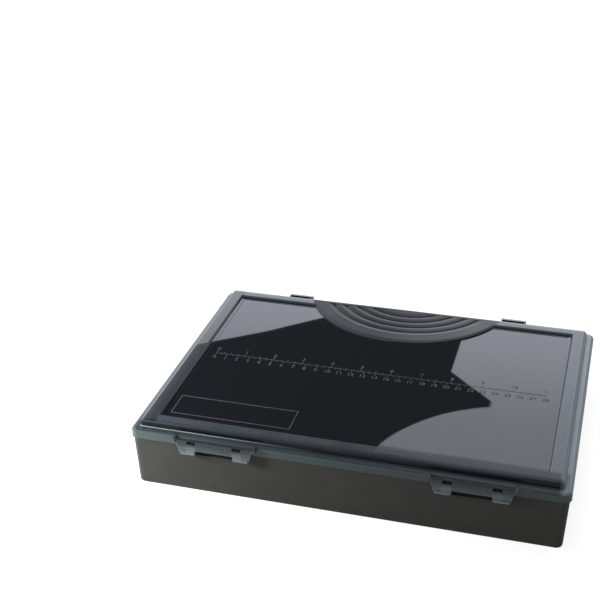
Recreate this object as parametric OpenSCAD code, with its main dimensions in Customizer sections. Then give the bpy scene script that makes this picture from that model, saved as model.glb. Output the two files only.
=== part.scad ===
// Flat tackle box: a drafted tray with fixed partitions and loose dividers, under a
// moulded lid that turns on two rear hinges and is held shut by two front latches.
// Millimetres, +Z up, long side along X, latches towards -Y, standing on z = 0.

/* [Lid] */
// Length of the lid over its skirt
lid_l = 340; // [320:1:370]
// Width of the lid over its skirt
lid_w = 250; // [235:1:280]
// Height of the closed box
box_h = 57.5; // [56:0.5:66]
// Height of the flange that runs round the raised rim
flange_z = 51.5; // [50.5:0.5:52]
// Height of the skirt's lower edge
skirt_z = 43.7; // [43:0.1:44.5]
// Plan radius of the skirt's corners
lid_corner_r = 6; // [4:0.5:10]
// Wall thickness of the lid
lid_wall = 1.6; // [1.4:0.1:2.0]
// Depth of the sunk window below the rim
window_depth = 2.3; // [1.5:0.1:3]

/* [Tray] */
// Wall thickness of the tray
tray_wall = 2.6; // [2.4:0.1:3.0]
// Draft of the tray's outer and inner walls, in degrees
tray_draft = 2.8; // [1:0.1:3.2]
// Thickness of the tray's floor
floor_t = 2; // [1.6:0.1:3]
// Position along X of the left partition
left_partition_x = -108; // [-112:1:-100]
// Position along X of the right partition
right_partition_x = 31; // [20:1:40]

/* [Dividers] */
// Dividers in the left bay
left_count = 5; // [1:1:6]
// Dividers in the middle bay
middle_count = 4; // [1:1:6]
// Dividers in the right bay
right_count = 5; // [1:1:6]
// Thickness of a divider
divider_t = 1.6; // [1.2:0.1:2]

/* [Latches and hinges] */
// Distance of the latches from the middle of the box
latch_x = 99.3; // [90:0.1:110]
// Width of a latch along its barrel
latch_w = 61.6; // [58:0.2:66]
// Distance of the hinges from the middle of the box
hinge_x = 99; // [90:0.1:110]
// Width of a hinge over its side arms
hinge_w = 21.6; // [20:0.2:26]

/* [Ribbed grip] */
// Radius of the fan-shaped grip
grip_r = 93.4; // [85:0.2:100]
// Position along Y of the fan's centre, behind the box
grip_y = 151.5; // [148:0.5:156]
// Radius of the outermost groove
groove_r = 76.5; // [70:0.5:80]
// Distance between two grooves
groove_pitch = 9.8; // [8:0.1:10.5]
// Depth of a groove
groove_depth = 1.1; // [0.5:0.1:1.2]

/* [Hidden] */
function names(bay, count) = [for (i = [1:count]) str("divider_", bay, "_", i)];
$fn = 48;

half_l = lid_l / 2;
half_w = lid_w / 2;
reach = half_w + 4.7;     // how far the latch lips and hinge knuckles stand out

// Lid
edge_r = 2.8;             // rounding of the flange's outer top edge
rim_foot = 5.7;           // the rim's outer wall starts this far in from the skirt
rim_lean = 0.5;           // and leans in by this much
rim_edge_r = 3;           // rounding of the rim's outer top edge
window_inset = 17.6;      // long sides of the sunk window, from the ends of the lid
window_inset_y = 16.7;    // and from its front and back
window_z = box_h - window_depth;
window_under_z = window_z - 2;
window_lead = 1.2;        // how far the window's wall leans in on its way down
border = 2.8;             // width of the step that frames the window
border_h = 0.3;           // and its height
seat_gap = 0.3;           // clearance between the lid and the tray's top edge
skirt_in_z = flange_z - 2;

// Label frame on the window
frame_x = -144.6;
frame_y = -99.8;
frame_l = 97.9;
frame_w = 26.8;
frame_line = 0.55;
frame_h = 0.3;

// Ribbed grip
grip_x = 1.7;
groove_count = 4;
groove_end_y = 113.5;     // the grooves run out here, on the rim's back side
grip_edge_r = 2.2;        // rounding of the grip's front edge
grip_lean = 0.4;          // slope of the grip's front wall, outward per mm of depth
crest_drop = 0.05;        // the ribs' crests lie this far under the rim's top
crown_steps = 8;          // straight steps in the profile of one rib

// Tray
tray_gap = 1.25;          // the tray's wall stands this far inside the skirt's outer face
shoulder_z = skirt_z - 0.5;   // above this shoulder the tray's rim fits into the lid
rim_inset = 2.4;          // and stands this far inside the skirt's outer face
tray_corner_r = 5;
tray_foot_r = 2;
tray_top_z = skirt_in_z - seat_gap;
partition_t = 1.8;
partition_z = 48;
slot_rib_t = 1.2;         // thickness of the ribs that guide a divider
slot_rib_d = 1.8;         // and how far they stand out of the wall
slot_play = 0.25;
divider_z = floor_t + 0.4;
divider_top_z = 46.5;
end_play = 0.4;

// Latch
latch_axis_y = -half_w - 2.2;
latch_axis_z = flange_z - 2.2;
barrel_r = 1.6;
latch_t = 1.5;
latch_face_y = latch_axis_y - barrel_r;
latch_foot_w = 56.8;      // width over the two tabs
tab_in = 15;              // the tabs start this far from the latch's middle
tab_z = 38.6;             // lower edge of the tabs
latch_mid_z = 42.3;       // lower edge between the tabs
tab_lip_z = 41.4;         // the finger lip starts here
return_t = 1.4;           // side returns behind the plate
return_in_y = -half_w - 0.5;
hook_in = 15;             // hooks and windows, from and to
hook_out = 21.8;
hook_z = 40.6;            // upper face of a hook
hook_tip_y = -half_w + 0.9;
slot_z = [47, 49.9];      // windows above the hooks
latch_pin_r = 0.8;
latch_pin_in = 25;        // inner end of a latch pin, from the latch's middle
ear_gap = 0.3;
ear_t = 2;

// Catches on the tray
lug_z = [40.9, 42.9];
lug_y = -half_w - 0.9;
ledge_z = [35.2, 36.2];
ledge_y = -half_w + 0.2;
ledge_half = 22;

// Hinge
knuckle_r = 2.1;
hinge_axis_y = reach - knuckle_r;
hinge_axis_z = skirt_z + 1.3;
hinge_pin_r = 1;
tray_knuckle_half = 6.5;
knuckle_gap = 0.3;
arm_t = 1.4;
strap_z = 54.6;           // top of the strap behind the rim
strap_t = 1.8;
strap_bar_y = 125.4;      // front edge of the strap's top bar
running_play = 0.05;      // radial clearance of a pin that turns
press = 0.02;             // radial interference of a pin that is pressed in

// Inset of the tray's outer wall from the skirt's outer face, at a height
function tray_inset(z) = tray_gap + (shoulder_z - z) * tan(tray_draft);
// Inner face of the drafted wall, as a distance from the box's centre, and the depth in
// the wall from which ribs, partitions and brackets start
function wall_in(half, z) = half - tray_inset(z) - tray_wall;
function wall_root(half, z) = wall_in(half, z) + 0.9;

// ---------- shared shapes ----------

// Rectangle with round corners, centred
module rounded_rect(l, w, r) {
    square([l - 2 * r, w], center = true);
    square([l, w - 2 * r], center = true);
    for (x = [-1, 1], y = [-1, 1])
        translate([x * (l / 2 - r), y * (w / 2 - r)]) circle(r, $fn = 32);
}

// Points of one section [z, inset, corner radius]; insets are measured from the lid's
// outline, and extra_y is taken off the front and the back as well
corner_steps = 8;
function ring(s, extra_y) = [
    for (c = [0:3], k = [0:corner_steps])
        let (a = 90 * (c + k / corner_steps),
             x = (c == 0 || c == 3 ? 1 : -1) * (half_l - s[1] - s[2]),
             y = (c < 2 ? 1 : -1) * (half_w - s[1] - extra_y - s[2]))
        [x + s[2] * cos(a), y + s[2] * sin(a), s[0]]
];

// Body that runs through sections, lowest first
module loft(sections, extra_y = 0) {
    n = 4 * (corner_steps + 1);
    top = n * (len(sections) - 1);
    polyhedron(
        points = [for (s = sections) each ring(s, extra_y)],
        faces = concat(
            [[for (i = [0:n - 1]) i], [for (i = [n - 1:-1:0]) top + i]],
            [for (j = [0:len(sections) - 2], i = [0:n - 1]) let (k = (i + 1) % n)
                [j * n + i, (j + 1) * n + i, (j + 1) * n + k, j * n + k]]
        )
    );
}

// Sections that round the top edge of a loft: from the wall at inset i, up to height z
function round_top(z, i, r, corner, steps = 7) =
    [for (k = [1:steps]) let (a = 90 * k / steps)
        [z - r + r * sin(a), i + r * (1 - cos(a)), max(corner - r * (1 - cos(a)), 0.5)]];

// Rod along X
module rod(x0, x1, y, z, r) {
    translate([x0, y, z]) rotate([0, 90, 0]) cylinder(h = x1 - x0, r = r);
}

// Outline in the YZ plane, pulled along X
module side_profile(x0, x1, points) {
    translate([x0, 0, 0]) rotate([90, 0, 90]) linear_extrude(x1 - x0) polygon(points);
}

// Outline in the XZ plane, pulled along Y
module front_profile(y0, y1, points) {
    translate([0, y1, 0]) rotate([90, 0, 0]) linear_extrude(y1 - y0) polygon(points);
}

module mirrored_x() {
    children();
    mirror([1, 0, 0]) children();
}

// ---------- tray ----------

module tray_shell() {
    foot = [for (k = [0:3]) let (a = 90 * k / 3)
        [tray_foot_r * (1 - cos(a)),
         tray_inset(tray_foot_r * (1 - cos(a))) + tray_foot_r * (1 - sin(a)),
         tray_corner_r - tray_foot_r * (1 - sin(a))]];
    difference() {
        loft(concat(foot, [
            [shoulder_z - 0.4, tray_gap, tray_corner_r], [shoulder_z, tray_gap + 0.4, tray_corner_r],
            [shoulder_z, rim_inset, tray_corner_r], [tray_top_z, rim_inset, tray_corner_r]
        ]));
        loft([[floor_t, tray_inset(floor_t) + tray_wall + 1, tray_corner_r - 3],
              [floor_t + 1, tray_inset(floor_t + 1) + tray_wall, tray_corner_r - 2],
              [tray_top_z + 1, tray_inset(tray_top_z + 1) + tray_wall, tray_corner_r - 2]]);
    }
}

// Fixed wall from front to back
module partition(x) {
    z0 = floor_t / 2;
    side_profile(x - partition_t / 2, x + partition_t / 2, [
        [-wall_root(half_w, z0), z0], [wall_root(half_w, z0), z0],
        [wall_root(half_w, partition_z), partition_z],
        [-wall_root(half_w, partition_z), partition_z]
    ]);
}

// The four slot ribs that hold one divider between x0 and x1; the bay's ends are
// [x at the floor, x at the top] and side is +1 for a wall on the bay's low-X end
module slot_ribs(y, ends, root, side) {
    z0 = floor_t / 2;
    for (s = [-1, 1])
        translate([0, y + s * (divider_t + slot_rib_t + 2 * slot_play) / 2, 0])
            front_profile(-slot_rib_t / 2, slot_rib_t / 2, [
                [ends[0] - side * root, z0], [ends[0] + side * slot_rib_d, z0],
                [ends[1] + side * slot_rib_d, divider_top_z - 0.5],
                [ends[1] - side * root, divider_top_z - 0.5]
            ]);
}

// A bay is [low face at floor and top, high face at floor and top, number of dividers]
function outer_face(side) =
    [side * wall_in(half_l, floor_t), side * wall_in(half_l, divider_top_z)];
function partition_face(x, side) =
    [x + side * partition_t / 2, x + side * partition_t / 2];
left_bay = [outer_face(-1), partition_face(left_partition_x, -1), left_count];
middle_bay = [partition_face(left_partition_x, 1), partition_face(right_partition_x, -1),
              middle_count];
right_bay = [partition_face(right_partition_x, 1), outer_face(1), right_count];

// Place along Y of divider i out of count
function divider_y(i, count) = 2 * wall_in(half_w, floor_t) * (i / (count + 1) - 0.5);

module bay_ribs(bay) {
    for (i = [1:bay[2]]) {
        slot_ribs(divider_y(i, bay[2]), bay[0], partition_t / 2, 1);
        slot_ribs(divider_y(i, bay[2]), bay[1], partition_t / 2, -1);
    }
}

// Two lugs for a latch's hooks and the ledge below them
module catches(x) {
    root = -wall_root(half_w, skirt_z);
    for (s = [-1, 1])
        translate([x + s * (hook_in + hook_out) / 2, 0, 0])
            side_profile(-(hook_out - hook_in) / 2, (hook_out - hook_in) / 2, [
                [root, lug_z[0]], [lug_y, lug_z[0]], [lug_y, lug_z[0] + 0.7],
                [lug_y + 1.8, lug_z[1]], [root, lug_z[1]]
            ]);
    side_profile(x - ledge_half, x + ledge_half, [
        [root + 0.3, ledge_z[0]], [ledge_y, ledge_z[0]],
        [ledge_y, ledge_z[1]], [root + 0.3, ledge_z[1]]
    ]);
}

// Knuckle in the middle of a hinge, on a bracket that reaches under the skirt
module tray_knuckle(x) {
    root = wall_root(half_w, skirt_z);
    lean = -35;               // where the bracket's back runs into the barrel
    back = [hinge_axis_y + knuckle_r * cos(lean), hinge_axis_z + knuckle_r * sin(lean)];
    drop = (back[0] - root) / tan(-lean);
    difference() {
        union() {
            rod(x - tray_knuckle_half, x + tray_knuckle_half,
                hinge_axis_y, hinge_axis_z, knuckle_r);
            side_profile(x - tray_knuckle_half, x + tray_knuckle_half, [
                [root, skirt_z - 0.5], [hinge_axis_y - knuckle_r, skirt_z - 0.5],
                [hinge_axis_y - knuckle_r, hinge_axis_z], [hinge_axis_y, hinge_axis_z],
                back, [root, back[1] - drop]
            ]);
        }
        rod(x - tray_knuckle_half - 1, x + tray_knuckle_half + 1,
            hinge_axis_y, hinge_axis_z, hinge_pin_r - press);
    }
}

module tray() {
    color("#4b4c45") {
        tray_shell();
        partition(left_partition_x);
        partition(right_partition_x);
        bay_ribs(left_bay);
        bay_ribs(middle_bay);
        bay_ribs(right_bay);
        for (s = [-1, 1]) {
            catches(s * latch_x);
            tray_knuckle(s * hinge_x);
        }
    }
}

// ---------- dividers ----------

notch_r = 9;              // finger notch in a divider's upper edge
notch_depth = 4;

// Plate that fills its bay, with leaning ends where the tray's wall leans and a finger
// notch in the middle of its upper edge
module divider(i, bay) {
    lo = bay[0];
    hi = bay[1];
    mid = (lo[1] + hi[1]) / 2;
    y = divider_y(i, bay[2]);
    color("#5b5c55") difference() {
        front_profile(y - divider_t / 2, y + divider_t / 2, [
            [lo[0] + end_play + 1, divider_z], [hi[0] - end_play - 1, divider_z],
            [hi[0] - end_play, divider_z + 1.5], [hi[1] - end_play, divider_top_z],
            [lo[1] + end_play, divider_top_z], [lo[0] + end_play, divider_z + 1.5]
        ]);
        translate([mid, y, divider_top_z + notch_r - notch_depth]) rotate([90, 0, 0])
            cylinder(h = 2 * divider_t, r = notch_r, center = true);
    }
}

// ---------- lid ----------

module lid_outside() {
    loft(concat(
        [[skirt_z, 0, lid_corner_r], [flange_z - edge_r, 0, lid_corner_r]],
        round_top(flange_z, 0, edge_r, lid_corner_r)
    ));
    loft(concat(
        [[flange_z - 1, rim_foot, 3.5], [box_h - rim_edge_r, rim_foot + rim_lean, 3.5]],
        round_top(box_h, rim_foot + rim_lean, rim_edge_r, 3.5)
    ));
}

// Hollow under the lid: between the skirts, then under the rim, with a block left for
// the sunk window
module lid_inside() {
    translate([0, 0, skirt_z - 1]) linear_extrude(skirt_in_z - skirt_z + 1)
        rounded_rect(lid_l - 2 * lid_wall, lid_w - 2 * lid_wall, lid_corner_r - lid_wall);
    difference() {
        loft([[skirt_in_z - 1, rim_foot + 2, 2], [box_h - 2, rim_foot + rim_lean + 2.2, 2]]);
        translate([0, 0, window_under_z + 5]) cube([
            lid_l - 2 * window_inset + 4, lid_w - 2 * window_inset_y + 4, 10
        ], center = true);
    }
    // under the grip
    intersection() {
        translate([grip_x, grip_y, window_under_z - 1])
            cylinder(h = window_depth + 0.7, r = grip_r - 2, $fn = 96);
        translate([-half_l, 0, 0]) cube([lid_l, half_w - window_inset_y - 1, box_h]);
    }
}

// Sunk window, with a softened upper edge, around the fan-shaped grip
module window_recess() {
    difference() {
        loft([
            [window_z, window_inset + window_lead + border, 1],
            [window_z + border_h, window_inset + window_lead + border - 0.15, 1],
            [window_z + border_h, window_inset + window_lead, 1],
            [box_h - 0.5, window_inset + 0.3, 1], [box_h + 0.5, window_inset - 1.1, 1]
        ], window_inset_y - window_inset);
        grip_body();
    }
}

// The grip stands up to the rim's height, with a leaning front wall and a round edge
module grip_body() {
    wall_z = box_h - grip_edge_r;
    translate([grip_x, grip_y, 0]) rotate_extrude($fn = 96) polygon(concat(
        [[0, window_z - 1], [grip_r + grip_lean * (wall_z - window_z + 1), window_z - 1]],
        [for (k = [6:-1:0]) let (a = 15 * k)
            [grip_r - grip_edge_r * (1 - sin(a)), box_h - grip_edge_r * (1 - cos(a))]],
        [[grip_r - grip_edge_r, box_h + 1], [0, box_h + 1]]
    ));
}

// Everything above the grip's ribbed surface: a profile of crowned ribs between the
// grooves, turned about the fan's centre
function crown(t) = crest_drop + (groove_depth - crest_drop) * pow(abs(2 * t - 1), 2.2);
function groove_at(i) = groove_r - i * groove_pitch;
module groove_cutter() {
    last = groove_at(groove_count - 1);
    ribs = [for (i = [groove_count - 2:-1:0], k = [0:crown_steps - 1])
        let (t = k / crown_steps)
        [groove_at(i + 1) + t * groove_pitch, box_h - crown(t)]];
    intersection() {
        translate([grip_x, grip_y, 0]) rotate_extrude($fn = 96) polygon(concat(
            [[last - 5, box_h + 1], [last - 5, box_h], [last - 1, box_h - 0.5 * groove_depth]],
            ribs,
            [[groove_r, box_h - groove_depth], [groove_r + 1, box_h - 0.5 * groove_depth],
             [groove_r + 5, box_h], [groove_r + 5, box_h + 1]]
        ));
        translate([-half_l, 0, 0]) cube([lid_l, groove_end_y, 2 * box_h]);
    }
}

module label_frame() {
    translate([frame_x, frame_y, window_z - 0.1]) linear_extrude(frame_h + 0.1) difference() {
        square([frame_l, frame_w]);
        translate([frame_line, frame_line])
            square([frame_l - 2 * frame_line, frame_w - 2 * frame_line]);
    }
}

// The two ears that carry a latch's pins
module ears(x) {
    near = latch_w / 2 + ear_gap;
    r = flange_z - latch_axis_z;
    for (s = [-1, 1]) {
        lo = x + (s > 0 ? near : -near - ear_t);
        difference() {
            union() {
                rod(lo, lo + ear_t, latch_axis_y, latch_axis_z, r);
                side_profile(lo, lo + ear_t, [
                    [latch_axis_y, latch_axis_z - r], [-half_w + 0.8, latch_axis_z - r],
                    [-half_w + 0.8, skirt_in_z + 0.2], [-half_w + edge_r, flange_z],
                    [latch_axis_y, flange_z]
                ]);
            }
            rod(lo - 1, lo + ear_t + 1, latch_axis_y, latch_axis_z, latch_pin_r - press);
        }
    }
}

// Strap of one hinge: two side arms from the rim, a bar behind the flange, a back plate
// and the two outer knuckles
module strap(x) {
    half = hinge_w / 2;
    inner = tray_knuckle_half + knuckle_gap;
    rim_y = half_w - rim_foot - 2.2;
    difference() {
        union() {
            for (s = [-1, 1]) {
                arm = s > 0 ? half - arm_t : -half;
                side_profile(x + arm, x + arm + arm_t, [
                    [rim_y, flange_z - 0.5], [rim_y, strap_z], [reach - 1.5, strap_z],
                    [reach - 0.4, strap_z - 0.5], [reach, strap_z - 1.5],
                    [reach, hinge_axis_z], [half_w - 0.5, hinge_axis_z],
                    [half_w - 0.5, flange_z - 1.5]
                ]);
                knuckle = s > 0 ? inner : -half;
                rod(x + knuckle, x + knuckle + half - inner,
                    hinge_axis_y, hinge_axis_z, knuckle_r);
                side_profile(x + knuckle, x + knuckle + half - inner, [
                    [hinge_axis_y + 0.2, hinge_axis_z], [reach, hinge_axis_z],
                    [reach, hinge_axis_z + 4], [hinge_axis_y + 0.2, hinge_axis_z + 4]
                ]);
            }
            side_profile(x - half, x + half, [
                [strap_bar_y, strap_z], [reach - 1.5, strap_z], [reach - 0.4, strap_z - 0.5],
                [reach, strap_z - 1.5], [reach, hinge_axis_z + knuckle_r + 0.6],
                [reach - strap_t, hinge_axis_z + knuckle_r + 0.6],
                [reach - strap_t, strap_z - strap_t], [strap_bar_y, strap_z - strap_t]
            ]);
        }
        rod(x - half - 1, x + half + 1, hinge_axis_y, hinge_axis_z,
            hinge_pin_r + running_play);
    }
}

module lid() {
    color("#5c6c6e") {
        difference() {
            lid_outside();
            lid_inside();
            window_recess();
            groove_cutter();
        }
        label_frame();
        for (s = [-1, 1]) {
            ears(s * latch_x);
            strap(s * hinge_x);
        }
    }
}

// ---------- latches ----------

// Outline of the latch's plate: wide at the barrel, with two tabs below
module latch_plate() {
    top = latch_w / 2;
    foot = latch_foot_w / 2;
    front_profile(latch_face_y, latch_face_y + latch_t, [
        [-top, latch_axis_z], [top, latch_axis_z], [foot, tab_z + 1.2], [foot - 1.2, tab_z],
        [tab_in + 0.8, tab_z], [tab_in - 0.2, latch_mid_z], [-tab_in + 0.2, latch_mid_z],
        [-tab_in - 0.8, tab_z], [-foot + 1.2, tab_z], [-foot, tab_z + 1.2]
    ]);
}

module latch_side_return() {
    top = latch_w / 2 - 0.5;
    foot = latch_foot_w / 2;
    front_profile(latch_face_y + 0.5, return_in_y, [
        [top, latch_axis_z - 2.5], [foot, tab_z + 1.2], [foot - 1, tab_z + 0.6],
        [foot - return_t, tab_z + 1], [top - return_t, latch_axis_z - 2.5]
    ]);
}

// Finger lip along the foot of one tab
module tab_lip() {
    foot = latch_foot_w / 2;
    side_profile(tab_in + 0.8, foot - 1, [
        [latch_face_y + 0.2, tab_lip_z], [latch_face_y, tab_lip_z], [-reach, tab_z + 0.8],
        [-reach, tab_z], [latch_face_y + 0.2, tab_z]
    ]);
}

// Hook with a sloping lead-in below its catching face
module latch_hook() {
    side_profile(hook_in, hook_out, [
        [latch_face_y + 0.5, tab_z], [latch_face_y + latch_t + 1, tab_z],
        [hook_tip_y, hook_z - 0.9], [hook_tip_y, hook_z], [latch_face_y + 0.5, hook_z]
    ]);
}

module latch(x) {
    bore_r = latch_pin_r + running_play;
    bore_l = latch_w / 2 - latch_pin_in + 0.5;
    color("#7d8b92") translate([x, 0, 0]) difference() {
        union() {
            rod(-latch_w / 2, latch_w / 2, latch_axis_y, latch_axis_z, barrel_r);
            latch_plate();
            mirrored_x() {
                latch_side_return();
                tab_lip();
                latch_hook();
            }
        }
        mirrored_x() {
            translate([hook_in, -half_w - 10, slot_z[0]])
                cube([hook_out - hook_in, 12, slot_z[1] - slot_z[0]]);
            rod(latch_w / 2 - bore_l, latch_w / 2 + 1, latch_axis_y, latch_axis_z, bore_r);
        }
    }
}

module latch_pins(x) {
    color("silver") translate([x, 0, 0]) mirrored_x()
        rod(latch_pin_in, latch_w / 2 + ear_gap + ear_t, latch_axis_y, latch_axis_z,
            latch_pin_r);
}

module hinge_pin(x) {
    color("silver")
        rod(x - hinge_w / 2, x + hinge_w / 2, hinge_axis_y, hinge_axis_z, hinge_pin_r);
}

// ---------- nodes ----------

tray();
lid();
latch(-latch_x);  // latch_left
latch(latch_x);  // latch_right
latch_pins(-latch_x);  // latch_pins_left
latch_pins(latch_x);  // latch_pins_right
hinge_pin(-hinge_x);  // hinge_pin_left
hinge_pin(hinge_x);  // hinge_pin_right
for (i = [1:left_count])
    divider(i, left_bay);
for (i = [1:middle_count])
    divider(i, middle_bay);
for (i = [1:right_count])
    divider(i, right_bay);
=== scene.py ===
"""Looks of the flat tackle box: finishes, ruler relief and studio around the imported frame."""

import logging
import math
from dataclasses import dataclass, field
from enum import Enum
from typing import Any, Sequence

import bmesh
import bpy
from mathutils import Matrix, Vector


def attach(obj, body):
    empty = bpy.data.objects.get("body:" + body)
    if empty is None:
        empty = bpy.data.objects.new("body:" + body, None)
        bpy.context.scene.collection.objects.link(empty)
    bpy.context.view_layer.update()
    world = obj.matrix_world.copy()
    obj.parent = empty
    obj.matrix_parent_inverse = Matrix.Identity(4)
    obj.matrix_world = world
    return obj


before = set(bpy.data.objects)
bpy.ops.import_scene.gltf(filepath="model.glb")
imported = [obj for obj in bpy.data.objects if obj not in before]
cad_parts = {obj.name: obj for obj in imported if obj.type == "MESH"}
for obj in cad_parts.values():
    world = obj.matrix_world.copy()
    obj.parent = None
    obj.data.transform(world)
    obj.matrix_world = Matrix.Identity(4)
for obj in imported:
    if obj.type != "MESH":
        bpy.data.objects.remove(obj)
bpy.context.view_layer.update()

LOG = logging.getLogger("tackle_box")
MM = 0.001
LATCH_X = 99.3  # from the middle of the box to the middle of each latch, in millimetres
WHITE = (1.0, 1.0, 1.0, 1.0)

Colour = tuple[float, float, float]
Rgba = tuple[float, float, float, float]
Triple = tuple[float, float, float]
Span = tuple[float, float]
Fade = tuple[float, float, float, float]  # start and end of a smooth step, then its two levels
Edge = tuple[float, float, float, float]  # a point on an edge, then the way out across it


def srgb(red: int, green: int, blue: int) -> Colour:
    """Linear colour of an 8-bit sRGB colour.

    Args:
        red: Red level, 0 to 255.
        green: Green level, 0 to 255.
        blue: Blue level, 0 to 255.

    Returns:
        The three linear levels.
    """
    def linear(level: int) -> float:
        """Linear value of one 8-bit level."""
        share = level / 255
        return share / 12.92 if share <= 0.04045 else ((share + 0.055) / 1.055) ** 2.4
    return linear(red), linear(green), linear(blue)


def rgba(colour: Colour) -> Rgba:
    """Colour with an alpha of one, as a node socket takes it."""
    return (*colour, 1.0)


def in_metres(point: Triple) -> Triple:
    """Point given in millimetres, in metres."""
    return point[0] * MM, point[1] * MM, point[2] * MM


# ---------------------------------------------------------------- shader nodes


@dataclass
class Graph:
    """Adds nodes to a tree and links them as it goes."""

    tree: bpy.types.NodeTree

    def add(self, kind: str, settings: dict[str, Any] | None = None,
            **inputs: Any) -> bpy.types.Node:
        """Adds one node.

        Args:
            kind: Blender's name of the node type.
            settings: Attributes to set on the node.
            inputs: Values or sockets by input name, with spaces as underscores.

        Returns:
            The new node.
        """
        node = self.tree.nodes.new(kind)
        for name, value in (settings or {}).items():
            setattr(node, name, value)
        for name, value in inputs.items():
            self.feed(node.inputs[name.replace("_", " ")], value)
        return node

    def feed(self, socket: bpy.types.NodeSocket, value: Any) -> None:
        """Links a socket to an input, or sets the input's own value.

        Args:
            socket: Input to feed.
            value: Socket to link, or the value to set.
        """
        if isinstance(value, bpy.types.NodeSocket):
            self.tree.links.new(value, socket)
        elif isinstance(value, tuple) and socket.type == "RGBA" and len(value) == 3:
            socket.default_value = rgba(value)
        else:
            socket.default_value = value

    def math(self, operation: str, *values: Any) -> bpy.types.NodeSocket:
        """Runs a Math node.

        Args:
            operation: Blender's name of the operation.
            values: Numbers or sockets that it takes.

        Returns:
            Its result.
        """
        node = self.add("ShaderNodeMath", {"operation": operation})
        for socket, value in zip(node.inputs, values):
            self.feed(socket, value)
        return node.outputs[0]

    def fold(self, operation: str, values: Sequence[Any]) -> Any:
        """Runs a Math node over several values, one after another.

        Args:
            operation: Blender's name of the operation.
            values: Numbers or sockets that it takes.

        Returns:
            The last result.
        """
        total = values[0]
        for value in values[1:]:
            total = self.math(operation, total, value)
        return total

    def vector(self, operation: str, *values: Any) -> bpy.types.NodeSocket:
        """Runs a Vector Math node.

        Args:
            operation: Blender's name of the operation.
            values: Vectors or sockets that it takes.

        Returns:
            Its vector, or its number where the operation measures a length.
        """
        node = self.add("ShaderNodeVectorMath", {"operation": operation})
        for socket, value in zip(node.inputs, values):
            self.feed(socket, value)
        return node.outputs[1 if operation in ("LENGTH", "DISTANCE") else 0]

    def mix(self, share: Any, low: Any, high: Any) -> bpy.types.NodeSocket:
        """Mixes two colours.

        Args:
            share: Share of the second colour.
            low: First colour.
            high: Second colour.

        Returns:
            The mixed colour.
        """
        node = self.add("ShaderNodeMix", {"data_type": "RGBA"})
        for index, value in ((0, share), (6, low), (7, high)):
            self.feed(node.inputs[index], value)
        return node.outputs[2]

    def blend(self, share: Any, low: Any, high: Any) -> bpy.types.NodeSocket:
        """Mixes two numbers.

        Args:
            share: Share of the second number.
            low: First number.
            high: Second number.

        Returns:
            The mixed number.
        """
        node = self.add("ShaderNodeMix", {"data_type": "FLOAT"})
        for index, value in ((0, share), (2, low), (3, high)):
            self.feed(node.inputs[index], value)
        return node.outputs[0]

    def ramp(self, value: Any, start: float, end: float,
             low: float = 0.0, high: float = 1.0) -> bpy.types.NodeSocket:
        """Takes a smooth step of a value.

        Args:
            value: Number or socket to read.
            start: Where the step starts.
            end: Where it ends, on either side of the start.
            low: Level at the start.
            high: Level at the end.

        Returns:
            The level.
        """
        node = self.add("ShaderNodeMapRange", {"interpolation_type": "SMOOTHSTEP"})
        for socket, number in zip(node.inputs, (value, start, end, low, high)):
            self.feed(socket, number)
        return node.outputs[0]

    def steps(self, *steps: tuple[Any, Span]) -> bpy.types.NodeSocket:
        """Product of smooth steps from 0 to 1, each of a value over a span."""
        return self.fold("MULTIPLY", [self.ramp(value, *span) for value, span in steps])

    def noise(self, vector: Any, scale: float, detail: float = 3.0,
              roughness: float = 0.5) -> bpy.types.NodeSocket:
        """Level of a noise texture, about 0.5 on average."""
        node = self.add("ShaderNodeTexNoise", Vector=vector, Scale=scale, Detail=detail,
                        Roughness=roughness)
        return node.outputs[0]

    def split(self, vector: Any) -> tuple[bpy.types.NodeSocket, ...]:
        """X, Y and Z of a vector."""
        return tuple(self.add("ShaderNodeSeparateXYZ", Vector=vector).outputs)

    def millimetres(self, place: Any) -> tuple[bpy.types.NodeSocket, ...]:
        """X, Y and Z in millimetres of a place in metres."""
        return self.split(self.vector("MULTIPLY", place, (1 / MM,) * 3))

    def group(self, tree: bpy.types.NodeTree, **inputs: Any) -> bpy.types.Node:
        """Node that runs a shared group."""
        return self.add("ShaderNodeGroup", {"node_tree": tree}, **inputs)


@dataclass(frozen=True)
class Socket:
    """Name, type and default of one socket of a shared group."""

    name: str
    kind: str = "NodeSocketFloat"
    default: Any = None


def start_group(name: str, inputs: Sequence[Socket],
                outputs: Sequence[Socket]) -> tuple[Graph, bpy.types.Node, bpy.types.Node]:
    """Makes an empty shader group with its sockets.

    Args:
        name: Name of the group.
        inputs: Sockets that the group takes.
        outputs: Sockets that the group gives.

    Returns:
        The group's graph, its input node and its output node.
    """
    tree = bpy.data.node_groups.new(name, "ShaderNodeTree")
    for side, sockets in (("INPUT", inputs), ("OUTPUT", outputs)):
        for socket in sockets:
            made = tree.interface.new_socket(name=socket.name, in_out=side,
                                             socket_type=socket.kind)
            if socket.default is not None:
                made.default_value = socket.default
    graph = Graph(tree)
    return graph, graph.add("NodeGroupInput"), graph.add("NodeGroupOutput")


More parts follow.
